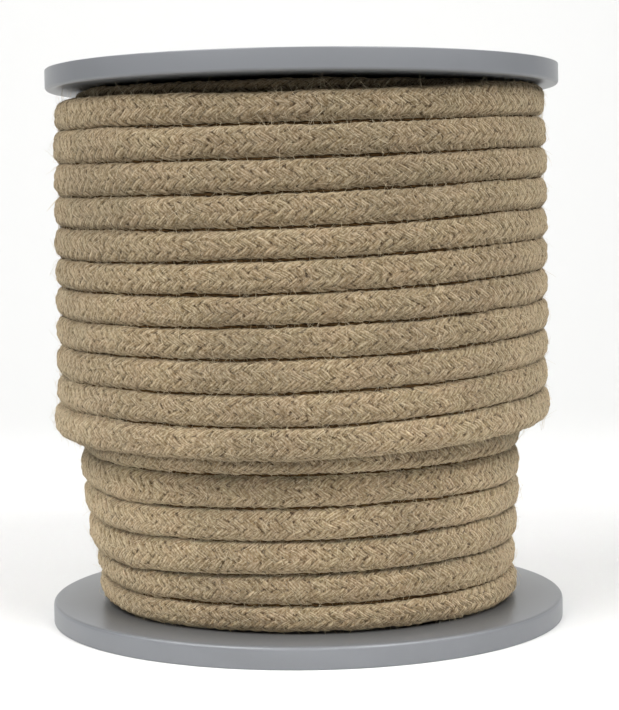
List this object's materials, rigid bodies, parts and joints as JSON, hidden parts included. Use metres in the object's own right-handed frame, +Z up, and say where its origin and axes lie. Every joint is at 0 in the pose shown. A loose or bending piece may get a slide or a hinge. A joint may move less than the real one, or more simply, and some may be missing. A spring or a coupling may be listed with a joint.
{
  "type": "linen rope on a plastic reel",
  "caption": "Braided linen rope wound in layers on a flanged grey plastic reel with a spindle bore; the outer layer stops short of the lower flange, so the layer below shows.",
  "frame": {"origin": "on the reel's axis, at the surface the lower flange stands on", "axes": "+Z up along the reel's axis, -Y towards the front of the picture, +X to its right"},
  "size_m": [0.14, 0.14, 0.15],
  "materials": {
    "reel_plastic": "satin, injection moulded, light grey",
    "rope_linen": "braided natural linen, matt and hairy"
  },
  "bodies": {
    "root": {"lower_flange": "reel_plastic", "upper_flange": "reel_plastic", "barrel": "reel_plastic", "rope_winding": "rope_linen"}
  },
  "joints": []
}
